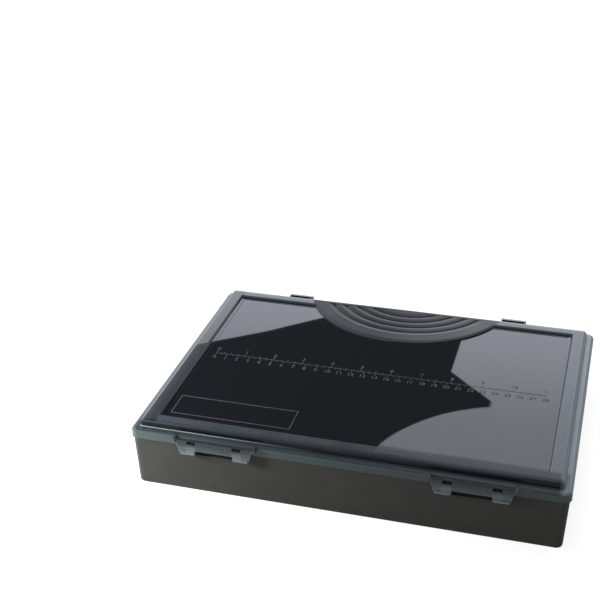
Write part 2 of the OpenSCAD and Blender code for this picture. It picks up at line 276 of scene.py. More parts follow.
class SharedEffects:
    """Shader groups that more than one finish places, each built once."""

    def __init__(self) -> None:
        """Builds every group."""
        self.box_mask = self._box_mask()
        self.grain = self._grain()
        self.wear = self._wear()

    @staticmethod
    def _box_mask() -> bpy.types.NodeTree:
        """Mask of an upright box with soft faces, in the units of the vector.

        Returns:
            The group.
        """
        vector = "NodeSocketVector"
        graph, given, out = start_group(
            "box_mask",
            [Socket("Vector", vector), Socket("Low", vector), Socket("High", vector),
             Socket("Soft", vector, (0.001, 0.001, 0.001))],
            [Socket("Mask")])
        place, low, high, soft = (given.outputs[i] for i in range(4))
        above = graph.vector("DIVIDE", graph.vector("SUBTRACT", place, low), soft)
        below = graph.vector("DIVIDE", graph.vector("SUBTRACT", high, place), soft)
        least = graph.vector("MINIMUM", above, below)
        held = graph.vector("MINIMUM", graph.vector("MAXIMUM", least, (0.0,) * 3), (1.0,) * 3)
        graph.feed(out.inputs["Mask"], graph.fold("MULTIPLY", graph.split(held)))
        return graph.tree

    @staticmethod
    def _grain() -> bpy.types.NodeTree:
        """Fine grain of a spark-finished mould, with long flow marks in the melt.

        Returns:
            The group.
        """
        graph, given, out = start_group(
            "mould_grain",
            [Socket("Vector", "NodeSocketVector"), Socket("Grain", default=1400.0),
             Socket("Flow", default=9.0)],
            [Socket("Height"), Socket("Mottle"), Socket("Streak")])
        place = given.outputs["Vector"]
        fine = graph.add("ShaderNodeTexNoise", Vector=place, Scale=given.outputs["Grain"],
                         Detail=2.0)
        broad = graph.add("ShaderNodeTexNoise", Vector=place, Scale=55.0, Detail=4.0)
        drawn = graph.vector("MULTIPLY", place, (1.0, 0.22, 0.6))
        streak = graph.add("ShaderNodeTexNoise", Vector=drawn, Scale=given.outputs["Flow"],
                           Detail=3.0, Distortion=0.4)
        graph.feed(out.inputs["Height"], fine.outputs[0])
        graph.feed(out.inputs["Mottle"], graph.ramp(broad.outputs[0], 0.3, 0.7))
        graph.feed(out.inputs["Streak"], graph.ramp(streak.outputs[0], 0.32, 0.68))
        return graph.tree

    @staticmethod
    def _wear() -> bpy.types.NodeTree:
        """Faint rubbed patches and hairline scuffs from handling.

        Returns:
            The group.
        """
        graph, given, out = start_group(
            "handling_wear",
            [Socket("Vector", "NodeSocketVector"), Socket("Amount", default=0.5)],
            [Socket("Rub"), Socket("Scuff")])
        place, amount = given.outputs["Vector"], given.outputs["Amount"]
        patch = graph.noise(place, 24.0, 5.0, 0.6)
        rub = graph.math("MULTIPLY", graph.ramp(patch, 0.5, 0.75), amount)
        turned = graph.add("ShaderNodeMapping", Vector=place, Rotation=(0.0, 0.0, 0.6),
                           Scale=(1.0, 26.0, 26.0))
        hair = graph.noise(turned.outputs[0], 70.0, 2.0)
        line = graph.ramp(graph.math("ABSOLUTE", graph.math("SUBTRACT", hair, 0.5)), 0.006, 0.0)
        graph.feed(out.inputs["Rub"], rub)
        graph.feed(out.inputs["Scuff"], graph.math("MULTIPLY", line, rub))
        return graph.tree


# ---------------------------------------------------------------- finishes


@dataclass(frozen=True)
class Finish:
    """A finish of the box, whose material is made by its own subclass."""

    name: str
    effects: SharedEffects

    def start(self, **principled: Any) -> tuple[Graph, bpy.types.Node, Any, bpy.types.Material]:
        """Opens a material with a Principled shader.

        Args:
            principled: Values of the shader's own sockets.

        Returns:
            The graph, the shader, the place on the piece and the material.
        """
        material = bpy.data.materials.new(self.name)
        material.use_nodes = True
        material.node_tree.nodes.clear()
        graph = Graph(material.node_tree)
        shader = graph.add("ShaderNodeBsdfPrincipled", **principled)
        graph.add("ShaderNodeOutputMaterial", Surface=shader.outputs[0])
        place = graph.add("ShaderNodeTexCoord").outputs["Object"]
        return graph, shader, place, material

    def bump(self, graph: Graph, shader: bpy.types.Node, height: Any,
             strength: float, depth: float) -> None:
        """Feeds a height to the shader's normal.

        Args:
            graph: Graph of the material.
            shader: Its Principled shader.
            height: Socket with the height.
            strength: Strength of the bump.
            depth: Depth that a height of one stands for, in millimetres.
        """
        node = graph.add("ShaderNodeBump", Strength=strength, Distance=depth * MM, Height=height)
        graph.feed(shader.inputs["Normal"], node.outputs[0])

    def mask(self, graph: Graph, place: Any, low: Triple, high: Triple,
             soft: Triple) -> bpy.types.NodeSocket:
        """Mask of a soft box given in millimetres."""
        node = graph.group(self.effects.box_mask, Vector=place, Low=in_metres(low),
                           High=in_metres(high), Soft=in_metres(soft))
        return node.outputs[0]

    def material(self) -> bpy.types.Material:
        """Makes the material."""
        raise NotImplementedError


@dataclass(frozen=True)
class TrayPlastic(Finish):
    """Dark olive moulded plastic with sink lines over the fixed partitions, and painted shade behind the
    latches.
    """

    body: Colour = srgb(64, 64, 60)
    pale: Colour = srgb(73, 73, 68)
    dust: Colour = srgb(112, 108, 98)
    # painted shade: colour of the shadow in the recess behind and under each latch
    shade: Colour = srgb(24, 24, 22)
    satin: Span = (0.42, 0.52)
    rubbed: float = 0.34
    dust_z: Span = (4.5, 0.0)
    sink_lines: tuple[float, ...] = (-108.0, 31.0)
    sink_half: float = 1.6
    sink_walls: tuple[Span, ...] = ((-130.0, -112.0), (112.0, 130.0))
    sink_z: Span = (3.0, 46.0)
    sink_soft: Triple = (1.5, 1.0, 6.0)
    shade_low: Triple = (-21.0, -126.0, 36.4)
    shade_high: Triple = (21.0, -120.0, 43.5)
    shade_soft: Triple = (0.4, 0.3, 0.3)

    def sunk_lines(self, graph: Graph, place: Any) -> bpy.types.NodeSocket:
        """Masks the sink lines on the front and back walls.

        Args:
            graph: Graph of the material.
            place: Place on the piece, in metres.

        Returns:
            The mask.
        """
        low_z, high_z = self.sink_z
        return graph.fold("ADD", [
            self.mask(graph, place, (x - self.sink_half, low_y, low_z),
                      (x + self.sink_half, high_y, high_z), self.sink_soft)
            for x in self.sink_lines for low_y, high_y in self.sink_walls])

    def material(self) -> bpy.types.Material:
        """Makes the material.

        Returns:
            The tray's material.
        """
        graph, shader, place, made = self.start(IOR=1.5, Specular_IOR_Level=0.25)
        grain = graph.group(self.effects.grain, Vector=place, Grain=1500.0, Flow=7.0)
        wear = graph.group(self.effects.wear, Vector=place, Amount=0.6)
        lines = self.sunk_lines(graph, place)

        colour = graph.mix(graph.math("MULTIPLY", grain.outputs["Mottle"], 0.35),
                           self.body, self.pale)
        specks = graph.ramp(graph.noise(place, 90.0, 5.0), 0.45, 0.8)
        foot = graph.ramp(graph.millimetres(place)[2], *self.dust_z)
        colour = graph.mix(graph.fold("MULTIPLY", (specks, foot, 0.5)), colour, self.dust)
        # the sink lines are real sunk marks in the bump and gloss; their slight pale tint is a painted sheen
        colour = graph.mix(graph.math("MULTIPLY", lines, 0.12), colour, self.pale)
        # painted shade: darkens the tray wall behind and under each latch, where shade falls
        for x in (-LATCH_X, LATCH_X):
            low, high = ((x + side, y, z) for side, y, z in (self.shade_low, self.shade_high))
            painted_shade_mask = self.mask(graph, place, low, high, self.shade_soft)
            colour = graph.mix(painted_shade_mask, colour, self.shade)
        graph.feed(shader.inputs["Base Color"], colour)

        rough = graph.blend(grain.outputs["Streak"], *self.satin)
        rough = graph.blend(wear.outputs["Rub"], rough, self.rubbed)
        rough = graph.math("SUBTRACT", rough, graph.math("MULTIPLY", lines, 0.06))
        graph.feed(shader.inputs["Roughness"], rough)
        sunk = graph.math("SUBTRACT", graph.math("MULTIPLY", grain.outputs["Height"], 0.25), lines)
        self.bump(graph, shader, sunk, strength=0.35, depth=0.12)
        return made


class Zone(Enum):
    """Parts of the lid that differ in colour or in gloss, some of them painted light or shade."""

    WINDOW = "floor of the sunk window"
    FRAME = "lines of the label frame"
    STEP = "step round the window"
    INNER = "right inner wall of the window"
    GRIP = "grip"
    GROOVE = "grooves of the grip"
    GRIP_PALE = "right part of the grip"
    WALL = "outer wall of the rim"
    FOOT = "foot of the rim, on the left"
    DARK = "inner side of the left rim"
    BACK = "back of the rim"
    EDGE = "right edge of the rim and the flange"
    STRAP = "tops of the hinge straps"
    SKIRT = "skirt"
    LEFT = "left part of the skirt"


@dataclass(frozen=True)
class SmokeLid(Finish):
    """Smoke-coloured moulded lid: satin skirt and rim, polished window, ribbed grip, with painted light and
    shade on parts of the rim, skirt, grip and straps.
    """

    window: Colour = srgb(17, 19, 24)
    rim: Colour = srgb(50, 58, 64)
    rim_pale: Colour = srgb(62, 71, 77)
    # painted shade on the inner side of the left rim
    rim_dark: Colour = srgb(20, 24, 27)
    wall: Colour = srgb(6, 8, 12)
    skirt: Colour = srgb(52, 67, 68)
    # painted light on the left part of the skirt
    skirt_pale: Colour = srgb(72, 85, 84)
    # painted highlight on the rounded back of the rim
    rim_back: Colour = srgb(140, 146, 148)
    # painted light on the right edge of the rim and the flange
    edge: Colour = srgb(114, 131, 136)
    grip: Colour = srgb(48, 52, 56)
    # painted light, lighter towards the right of the grip
    grip_pale: Colour = srgb(84, 89, 92)
    # painted shade in the grooves of the grip
    groove: Colour = srgb(24, 27, 31)
    # painted highlight along the foot of the rim, on the left
    foot_line: Colour = srgb(205, 215, 215)
    # painted light through the thin tops of the hinge straps
    strap: Colour = srgb(170, 175, 180)
    frame_line: Colour = srgb(78, 82, 82)

    satin: Span = (0.2, 0.3)
    polish: Span = (0.015, 0.2)
    grip_rough: float = 0.36
    rubbed: float = 0.42
    inner_rough: float = 0.6
    thin_coat: float = 0.1
    skirt_dull: float = 0.6

    window_half: Span = (151.4, 107.3)
    window_z: Span = (54.9, 55.7)
    window_soft: Triple = (0.15, 0.15, 0.1)
    frame_low: Triple = (-144.8, -100.0, 55.22)
    frame_high: Triple = (-46.5, -72.8, 55.7)
    frame_soft: Triple = (0.05, 0.05, 0.05)
    step_foot: Span = (55.21, 55.25)
    step_top: Span = (55.49, 55.45)
    inner_low: Triple = (151.0, -109.0, 55.5)
    inner_high: Triple = (153.9, 109.0, 57.4)
    grip_centre: Triple = (1.7, 151.5, 0.0)
    grip_reach: Span = (94.0, 93.4)
    grip_z: Span = (55.6, 56.0)
    grip_pale_x: Span = (-30.0, 80.0)
    groove_reach: Span = (85.6, 81.6)
    groove_z: Span = (57.3, 56.5)
    flange_z: Span = (51.53, 51.65)
    wall_z: Span = (56.9, 55.2)
    foot_z: Span = (52.45, 52.0)
    foot_x: Span = (-10.0, -110.0)
    dark_x: Span = (-162.5, -152.5)
    dark_end_x: Span = (-150.0, -151.2)
    dark_z: Span = (56.6, 57.0)
    back_y: Span = (111.0, 118.5)
    back_z: Span = (56.0, 57.0)
    edge_x: Span = (159.5, 164.5)
    edge_z: Span = (49.0, 50.5)
    # in front of strap_y the strap's top keeps the dark colour of the rim's wall, a painted shadow line at the
    # front of each strap
    strap_y: Span = (125.8, 126.2)
    strap_z: Span = (54.3, 54.5)
    skirt_z: Span = (51.3, 50.0)
    left_x: Span = (30.0, -160.0)

    def zones(self, graph: Graph, place: Any) -> dict[Zone, bpy.types.NodeSocket]:
        """Masks the lid's parts.

        Args:
            graph: Graph of the material.
            place: Place on the piece, in metres.

        Returns:
            The mask of each part.
        """
        x, y, z = graph.millimetres(place)
        half_x, half_y = self.window_half
        low_z, high_z = self.window_z
        sunk = self.mask(graph, place, (-half_x, -half_y, low_z), (half_x, half_y, high_z),
                         self.window_soft)
        lines = self.mask(graph, place, self.frame_low, self.frame_high, self.frame_soft)
        flat = graph.add("ShaderNodeCombineXYZ", X=x, Y=y).outputs[0]
        reach = graph.vector("DISTANCE", flat, self.grip_centre)
        grip = ((reach, self.grip_reach), (z, self.grip_z))
        above = (z, self.flange_z)
        return {
            Zone.WINDOW: graph.math("MULTIPLY", sunk, graph.math("SUBTRACT", 1.0, lines)),
            Zone.FRAME: graph.math("MULTIPLY", sunk, lines),
            Zone.STEP: graph.steps((z, self.step_foot), (z, self.step_top)),
            Zone.INNER: self.mask(graph, place, self.inner_low, self.inner_high,
                                  self.window_soft),
            Zone.GRIP: graph.steps(*grip),
            Zone.GROOVE: graph.steps(*grip, (z, self.groove_z), (reach, self.groove_reach)),
            Zone.GRIP_PALE: graph.ramp(x, *self.grip_pale_x),
            Zone.WALL: graph.steps(above, (z, self.wall_z)),
            Zone.FOOT: graph.steps(above, (z, self.foot_z), (x, self.foot_x)),
            Zone.DARK: graph.steps((x, self.dark_x), (x, self.dark_end_x), (z, self.dark_z)),
            Zone.BACK: graph.steps((y, self.back_y), (z, self.back_z)),
            Zone.EDGE: graph.steps((x, self.edge_x), (z, self.edge_z)),
            Zone.STRAP: graph.steps((y, self.strap_y), (z, self.strap_z)),
            Zone.SKIRT: graph.ramp(z, *self.skirt_z),
            Zone.LEFT: graph.ramp(x, *self.left_x),
        }

    def material(self) -> bpy.types.Material:
        """Makes the material.

        Returns:
            The lid's material.
        """
        graph, shader, place, made = self.start(IOR=1.4, Coat_Weight=1.0, Coat_Roughness=0.008,
                                                Coat_IOR=1.7)
        zone = self.zones(graph, place)
        grain = graph.group(self.effects.grain, Vector=place, Grain=1100.0, Flow=10.0)
        wear = graph.group(self.effects.wear, Vector=place, Amount=0.5)

        streak = grain.outputs["Streak"]
        colour = graph.mix(graph.math("MULTIPLY", streak, 0.6), self.rim, self.rim_pale)
        # painted light on the left of the skirt, broken up by the flow streaks
        painted_left_light = graph.math("MULTIPLY", zone[Zone.LEFT], graph.blend(streak, 0.7, 1.0))
        skirt = graph.mix(painted_left_light, self.skirt, self.skirt_pale)
        grip = graph.mix(zone[Zone.GRIP_PALE], self.grip, self.grip_pale)
        # these tones paint light and shade: highlights on the rim's foot and back, shade on the left rim and in
        # the grooves, light on the right edge, the straps, the grip's right and the skirt's left
        for part, share, tone in (
                (Zone.SKIRT, 1.0, skirt), (Zone.WALL, 1.0, self.wall),
                (Zone.FOOT, 0.5, self.foot_line), (Zone.BACK, 0.9, self.rim_back),
                (Zone.DARK, 0.85, self.rim_dark), (Zone.EDGE, 0.85, self.edge),
                (Zone.GRIP, 1.0, grip), (Zone.GROOVE, 0.85, self.groove),
                (Zone.STRAP, 1.0, self.strap), (Zone.WINDOW, 1.0, self.window),
                (Zone.FRAME, 1.0, self.frame_line)):
            colour = graph.mix(graph.math("MULTIPLY", zone[part], share), colour, tone)
        graph.feed(shader.inputs["Base Color"], colour)

        rough = graph.blend(grain.outputs["Mottle"], *self.satin)
        rough = graph.blend(zone[Zone.GRIP], rough, self.grip_rough)
        rough = graph.blend(wear.outputs["Rub"], rough, self.rubbed)
        polished = graph.blend(wear.outputs["Scuff"], *self.polish)
        rough = graph.blend(zone[Zone.WINDOW], rough, polished)
        rough = graph.blend(zone[Zone.INNER], rough, self.inner_rough)
        graph.feed(shader.inputs["Roughness"], rough)

        dull_skirt = graph.math("MULTIPLY", zone[Zone.SKIRT], self.skirt_dull)
        dull = graph.fold("MAXIMUM", (zone[Zone.WALL], dull_skirt, zone[Zone.GRIP]))
        coat = graph.blend(dull, 1.0, self.thin_coat)
        coat = graph.blend(zone[Zone.WINDOW], coat, 1.0)
        sides = graph.math("MAXIMUM", zone[Zone.STEP], zone[Zone.INNER])
        graph.feed(shader.inputs["Coat Weight"], graph.blend(sides, coat, self.thin_coat))

        ripple = graph.noise(place, 16.0, 1.0)
        fine = graph.math("MULTIPLY", grain.outputs["Height"],
                          graph.blend(zone[Zone.WINDOW], 0.3, 0.0))
        self.bump(graph, shader, graph.math("ADD", fine, ripple), strength=0.25, depth=0.2)
        return made


@dataclass(frozen=True)
class ClearLatch(Finish):
    """Clear smoke plastic of the latches, with painted highlights on their sides, lips, tab bottoms and lower
    plate.
    """

    body: Colour = srgb(36, 48, 51)
    # painted highlight colour, also used for the random cloudy tone
    barrel: Colour = srgb(48, 57, 62)
    thick: Colour = srgb(148, 165, 168)
    gloss: Span = (0.1, 0.22)
    barrel_z: Span = (48.8, 49.6)
    half_width: Fade = (38.6, 49.3, 28.4, 30.8)
    side_deep: Span = (1.2, 0.2)
    side_z: Span = (49.6, 48.1)
    side_share: float = 0.6
    lips: tuple[Fade, Fade] = ((42.2, 40.0, 0.0, 0.3), (40.0, 38.9, 0.0, 0.7))
    tab_x: Span = (14.6, 15.2)
    tab_z: Span = (46.9, 43.5)
    tab_level: Fade = (21.3, 23.3, 0.3, 0.12)
    brink: Fade = (43.0, 42.4, 0.0, 0.7)
    face: Fade = (49.6, 42.4, 0.0, 0.2)
    cloud_drawn: Triple = (1.0, 1.0, 0.06)
    cloud_share: float = 0.2

    def thickness(self, graph: Graph, place: Any, x: Any, z: Any) -> bpy.types.NodeSocket:
        """Finds the share of painted highlight on the latch's sides, lips, tab bottoms and lower plate, mixed
        with a random cloudy tone.

        Args:
            graph: Graph of the material.
            place: Place on the piece, in metres.
            x: Its x, in millimetres.
            z: Its z, in millimetres.

        Returns:
            The share of the pale colour.
        """
        outward = graph.math("ABSOLUTE", graph.math(
            "SUBTRACT", graph.math("ABSOLUTE", x), LATCH_X))
        rest = graph.math("SUBTRACT", graph.ramp(z, *self.half_width), outward)
        side = graph.math("MULTIPLY", graph.steps((rest, self.side_deep), (z, self.side_z)),
                          self.side_share)
        lip = graph.math("ADD", *(graph.ramp(z, *fade) for fade in self.lips))
        tab = graph.ramp(outward, *self.tab_x)
        below = graph.fold("MULTIPLY", (tab, graph.ramp(outward, *self.tab_level),
                                        graph.ramp(z, *self.tab_z)))
        brink = graph.math("MULTIPLY", graph.math("SUBTRACT", 1.0, tab),
                           graph.ramp(z, *self.brink))
        plate = graph.math("ADD", below, graph.ramp(z, *self.face))
        cloud = graph.noise(graph.vector("MULTIPLY", place, self.cloud_drawn), 500.0, 2.0)
        cloudy = graph.math("MULTIPLY", graph.ramp(cloud, 0.45, 0.75), self.cloud_share)
        return graph.fold("MAXIMUM", (side, lip, brink, plate, cloudy))

    def material(self) -> bpy.types.Material:
        """Makes the material.

        Returns:
            The latches' material.
        """
        graph, shader, place, made = self.start(IOR=1.5, Transmission_Weight=0.3,
                                                Coat_Weight=0.5, Coat_Roughness=0.05)
        grain = graph.group(self.effects.grain, Vector=place, Grain=1200.0, Flow=40.0)
        x, _, z = graph.millimetres(place)
        colour = graph.mix(self.thickness(graph, place, x, z), self.body, self.thick)
        colour = graph.mix(graph.ramp(z, *self.barrel_z), colour, self.barrel)
        graph.feed(shader.inputs["Base Color"], colour)
        graph.feed(shader.inputs["Roughness"], graph.blend(grain.outputs["Mottle"], *self.gloss))
        self.bump(graph, shader, grain.outputs["Height"], strength=0.12, depth=0.08)
        return made


@dataclass(frozen=True)
class PinSteel(Finish):
    """Drawn steel wire of the pins."""

    bright: Colour = srgb(205, 205, 208)
    dull: Colour = srgb(150, 150, 152)
    gloss: Span = (0.2, 0.38)
    drawn: Triple = (1.0, 14.0, 14.0)

    def material(self) -> bpy.types.Material:
        """Makes the material.

        Returns:
            The pins' material.
        """
        graph, shader, place, made = self.start(Metallic=1.0)
        streak = graph.noise(graph.vector("MULTIPLY", place, self.drawn), 260.0, 3.0)
        spots = graph.ramp(graph.noise(place, 700.0, 3.0), 0.55, 0.75)
        colour = graph.mix(graph.math("MULTIPLY", spots, 0.6), self.bright, self.dull)
        graph.feed(shader.inputs["Base Color"], colour)
        graph.feed(shader.inputs["Roughness"], graph.blend(streak, *self.gloss))
        self.bump(graph, shader, streak, strength=0.15, depth=0.03)
        return made


@dataclass(frozen=True)
class DividerPlastic(Finish):
    """Thin grey plastic of the loose dividers."""

    body: Colour = srgb(92, 92, 86)
    pale: Colour = srgb(112, 112, 105)
    satin: Span = (0.4, 0.5)
    rubbed: float = 0.3
    top_z: Span = (45.7, 46.5)

    def material(self) -> bpy.types.Material:
        """Makes the material.

        Returns:
            The dividers' material.
        """
        graph, shader, place, made = self.start(IOR=1.5)
        grain = graph.group(self.effects.grain, Vector=place, Grain=1300.0, Flow=14.0)
        wear = graph.group(self.effects.wear, Vector=place, Amount=0.8)
        # painted highlight on the top edges of the dividers
        top_highlight = graph.ramp(graph.millimetres(place)[2], *self.top_z)
        share = graph.math("MAXIMUM", graph.math("MULTIPLY", top_highlight, 0.8),
                           graph.math("MULTIPLY", grain.outputs["Mottle"], 0.4))
        graph.feed(shader.inputs["Base Color"], graph.mix(share, self.body, self.pale))
        rough = graph.blend(grain.outputs["Streak"], *self.satin)
        graph.feed(shader.inputs["Roughness"],
                   graph.blend(wear.outputs["Rub"], rough, self.rubbed))
        self.bump(graph, shader, grain.outputs["Height"], strength=0.2, depth=0.1)
        return made


@dataclass(frozen=True)
class FrostedRelief(Finish):
    """Frosted raised lines of the ruler."""

    body: Colour = srgb(70, 75, 82)
    pale: Colour = srgb(104, 109, 115)
    frost: Span = (0.55, 0.7)

    def material(self) -> bpy.types.Material:
        """Makes the material.

        Returns:
            The relief's material.
        """
        graph, shader, place, made = self.start(IOR=1.5)
        grain = graph.group(self.effects.grain, Vector=place, Grain=2500.0, Flow=60.0)
        share = graph.math("MULTIPLY", grain.outputs["Mottle"], grain.outputs["Streak"])
        graph.feed(shader.inputs["Base Color"], graph.mix(share, self.body, self.pale))
        graph.feed(shader.inputs["Roughness"], graph.blend(grain.outputs["Mottle"], *self.frost))
        self.bump(graph, shader, grain.outputs["Height"], strength=0.3, depth=0.05)
        return made


# ---------------------------------------------------------------- meshes


class Body(Enum):
    """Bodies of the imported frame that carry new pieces."""

    LID = "lid"
    LATCH_LEFT = "latch_left"
    LATCH_RIGHT = "latch_right"


def add_block(mesh: bmesh.types.BMesh, low: Triple, high: Triple, round_by: float = 0.0) -> None:
    """Adds a block between two corners.

    Args:
        mesh: Mesh that takes the block.
        low: Lowest corner, in millimetres.
        high: Highest corner, in millimetres.
        round_by: Width of the bevel on its edges, in millimetres.
    """
    middle = Vector([(a + b) / 2 * MM for a, b in zip(low, high)])
    sizes = Vector([(b - a) * MM for a, b in zip(low, high)])
    block = bmesh.ops.create_cube(mesh, size=1.0, matrix=Matrix.Translation(middle)
                                  @ Matrix.Diagonal(sizes).to_4x4())
    if round_by:
        edges = list({edge for vert in block["verts"] for edge in vert.link_edges})
        bmesh.ops.bevel(mesh, geom=edges, offset=round_by * MM, affect="EDGES", segments=2,
                        profile=0.5, material=-1)


def add_piece(name: str, mesh: bmesh.types.BMesh, material: bpy.types.Material, body: Body) -> bpy.types.Object:
    """Turns a finished bmesh into a piece that rides on a body.

    Args:
        name: Name of the piece.
        mesh: Its mesh, in place, in metres. It is freed.
        material: Its finish.
        body: Body that it moves with.

    Returns:
        The new object.
    """
    data = bpy.data.meshes.new(name)
    bmesh.ops.recalc_face_normals(mesh, faces=mesh.faces[:])
    mesh.to_mesh(data)
    mesh.free()
    data.materials.append(material)
    piece = bpy.data.objects.new(name, data)
    bpy.context.scene.collection.objects.link(piece)
    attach(piece, body.value)
    LOG.info("%s: %d faces on %s", name, len(data.polygons), body.value)
    return piece


def text_mesh(body: str, height: float, depth: float) -> bpy.types.Mesh:
    """Mesh of a centred figure, standing up from z = 0.

    Args:
        body: Figures to set.
        height: Height of the figures, in metres.
        depth: Height of the relief, in metres.

    Returns:
        The mesh, which the caller removes.
    """
    figure_share = 0.7  # height of a figure to each unit of the font's size
    curve = bpy.data.curves.new("figure", "FONT")
    curve.body = body
    curve.size = height / figure_share
    curve.align_x = "CENTER"
    curve.align_y = "CENTER"
    curve.extrude = depth / 2
    curve.resolution_u = 3
    holder = bpy.data.objects.new("figure", curve)
    bpy.context.scene.collection.objects.link(holder)
    graph = bpy.context.evaluated_depsgraph_get()
    made = bpy.data.meshes.new_from_object(holder.evaluated_get(graph))
    bpy.data.objects.remove(holder)
    bpy.data.curves.remove(curve)
    made.transform(Matrix.Translation((0, 0, depth / 2)))
    return made


@dataclass(frozen=True)
class Scale:
    """One scale of the ruler: its unit, the ticks of one unit and how far off its figures are."""

    unit: float
    ticks: tuple[float, ...]
    figure_y: float


@dataclass
class Ruler:
    """Raised ruler across the window: inches above the line, centimetres below it."""

    start_x: float = -140.6
    length: float = 280.0
    line_y: float = 1.3
    floor_z: float = 55.2
    sunk: float = 0.03
    rise: float = 0.14
    line_width: float = 0.42
    tick_width: float = 0.38
    figure_height: float = 4.2
    scales: tuple[Scale, ...] = (Scale(25.4, (4.6, 2.0, 3.0, 2.0), 7.0),
                                 Scale(10.0, (4.2, 2.2), -7.2))

    def bar(self, mesh: bmesh.types.BMesh, low: Span, high: Span) -> None:
        """Adds one raised bar between two corners in plan, in millimetres."""
        add_block(mesh, (*low, self.floor_z - self.sunk), (*high, self.floor_z + self.rise))

    def figure(self, mesh: bmesh.types.BMesh, number: int, x: float, rise_y: float) -> None:
        """Adds one number over or under its tick.

        Args:
            mesh: Mesh of the ruler.
            number: Number to set.
            x: Place of its tick, in millimetres.
            rise_y: How far its middle lies above the line, in millimetres.
        """
        made = text_mesh(str(number), self.figure_height * MM, (self.rise + self.sunk) * MM)
        made.transform(Matrix.Translation(in_metres(
            (x, self.line_y + rise_y, self.floor_z - self.sunk))))
        mesh.from_mesh(made)
        bpy.data.meshes.remove(made)

    def add_scale(self, mesh: bmesh.types.BMesh, scale: Scale) -> None:
        """Adds the ticks of one scale, and a number at the first tick of each unit.

        Args:
            mesh: Mesh of the ruler.
            scale: Scale to add.
        """
        half = self.tick_width / 2
        parts = len(scale.ticks)
        for step in range(int(self.length / scale.unit * parts) + 1):
            x = self.start_x + step * scale.unit / parts
            reach = math.copysign(scale.ticks[step % parts], scale.figure_y)
            low, high = sorted((self.line_y, self.line_y + reach))
            self.bar(mesh, (x - half, low), (x + half, high))
            if step % parts == 0:
                self.figure(mesh, step // parts, x, scale.figure_y)

    def build(self, material: bpy.types.Material) -> bpy.types.Object:
        """Builds the ruler.

        Args:
            material: Frosted finish of the relief.

        Returns:
            The ruler's object.
        """
        mesh = bmesh.new()
        half = self.line_width / 2
        self.bar(mesh, (self.start_x, self.line_y - half),
                 (self.start_x + self.length, self.line_y + half))
        for scale in self.scales:
            self.add_scale(mesh, scale)
        return add_piece("lid_ruler", mesh, material, Body.LID)


@dataclass
class LatchTeeth:
    """Small grip teeth in the two openings of a latch."""

    centre_x: float
    body: Body
    hook_x: float = 18.5
    pitch: float = 1.7
    count: int = 3
    z: Span = (46.9, 47.85)
    y: Span = (-128.6, -127.6)
    width: float = 0.9
    round_by: float = 0.15

    def build(self, material: bpy.types.Material) -> bpy.types.Object:
        """Builds the teeth of both openings.

        Args:
            material: Finish of the latch.

        Returns:
            The teeth's object.
        """
        mesh = bmesh.new()
        for side in (-1, 1):
            for step in range(self.count):
                x = self.centre_x + side * self.hook_x + (step - (self.count - 1) / 2) * self.pitch
                add_block(mesh, (x - self.width / 2, self.y[0], self.z[0]),
                          (x + self.width / 2, self.y[1], self.z[1]), self.round_by)
        return add_piece(f"{self.body.value}_teeth", mesh, material, self.body)


# ---------------------------------------------------------------- studio


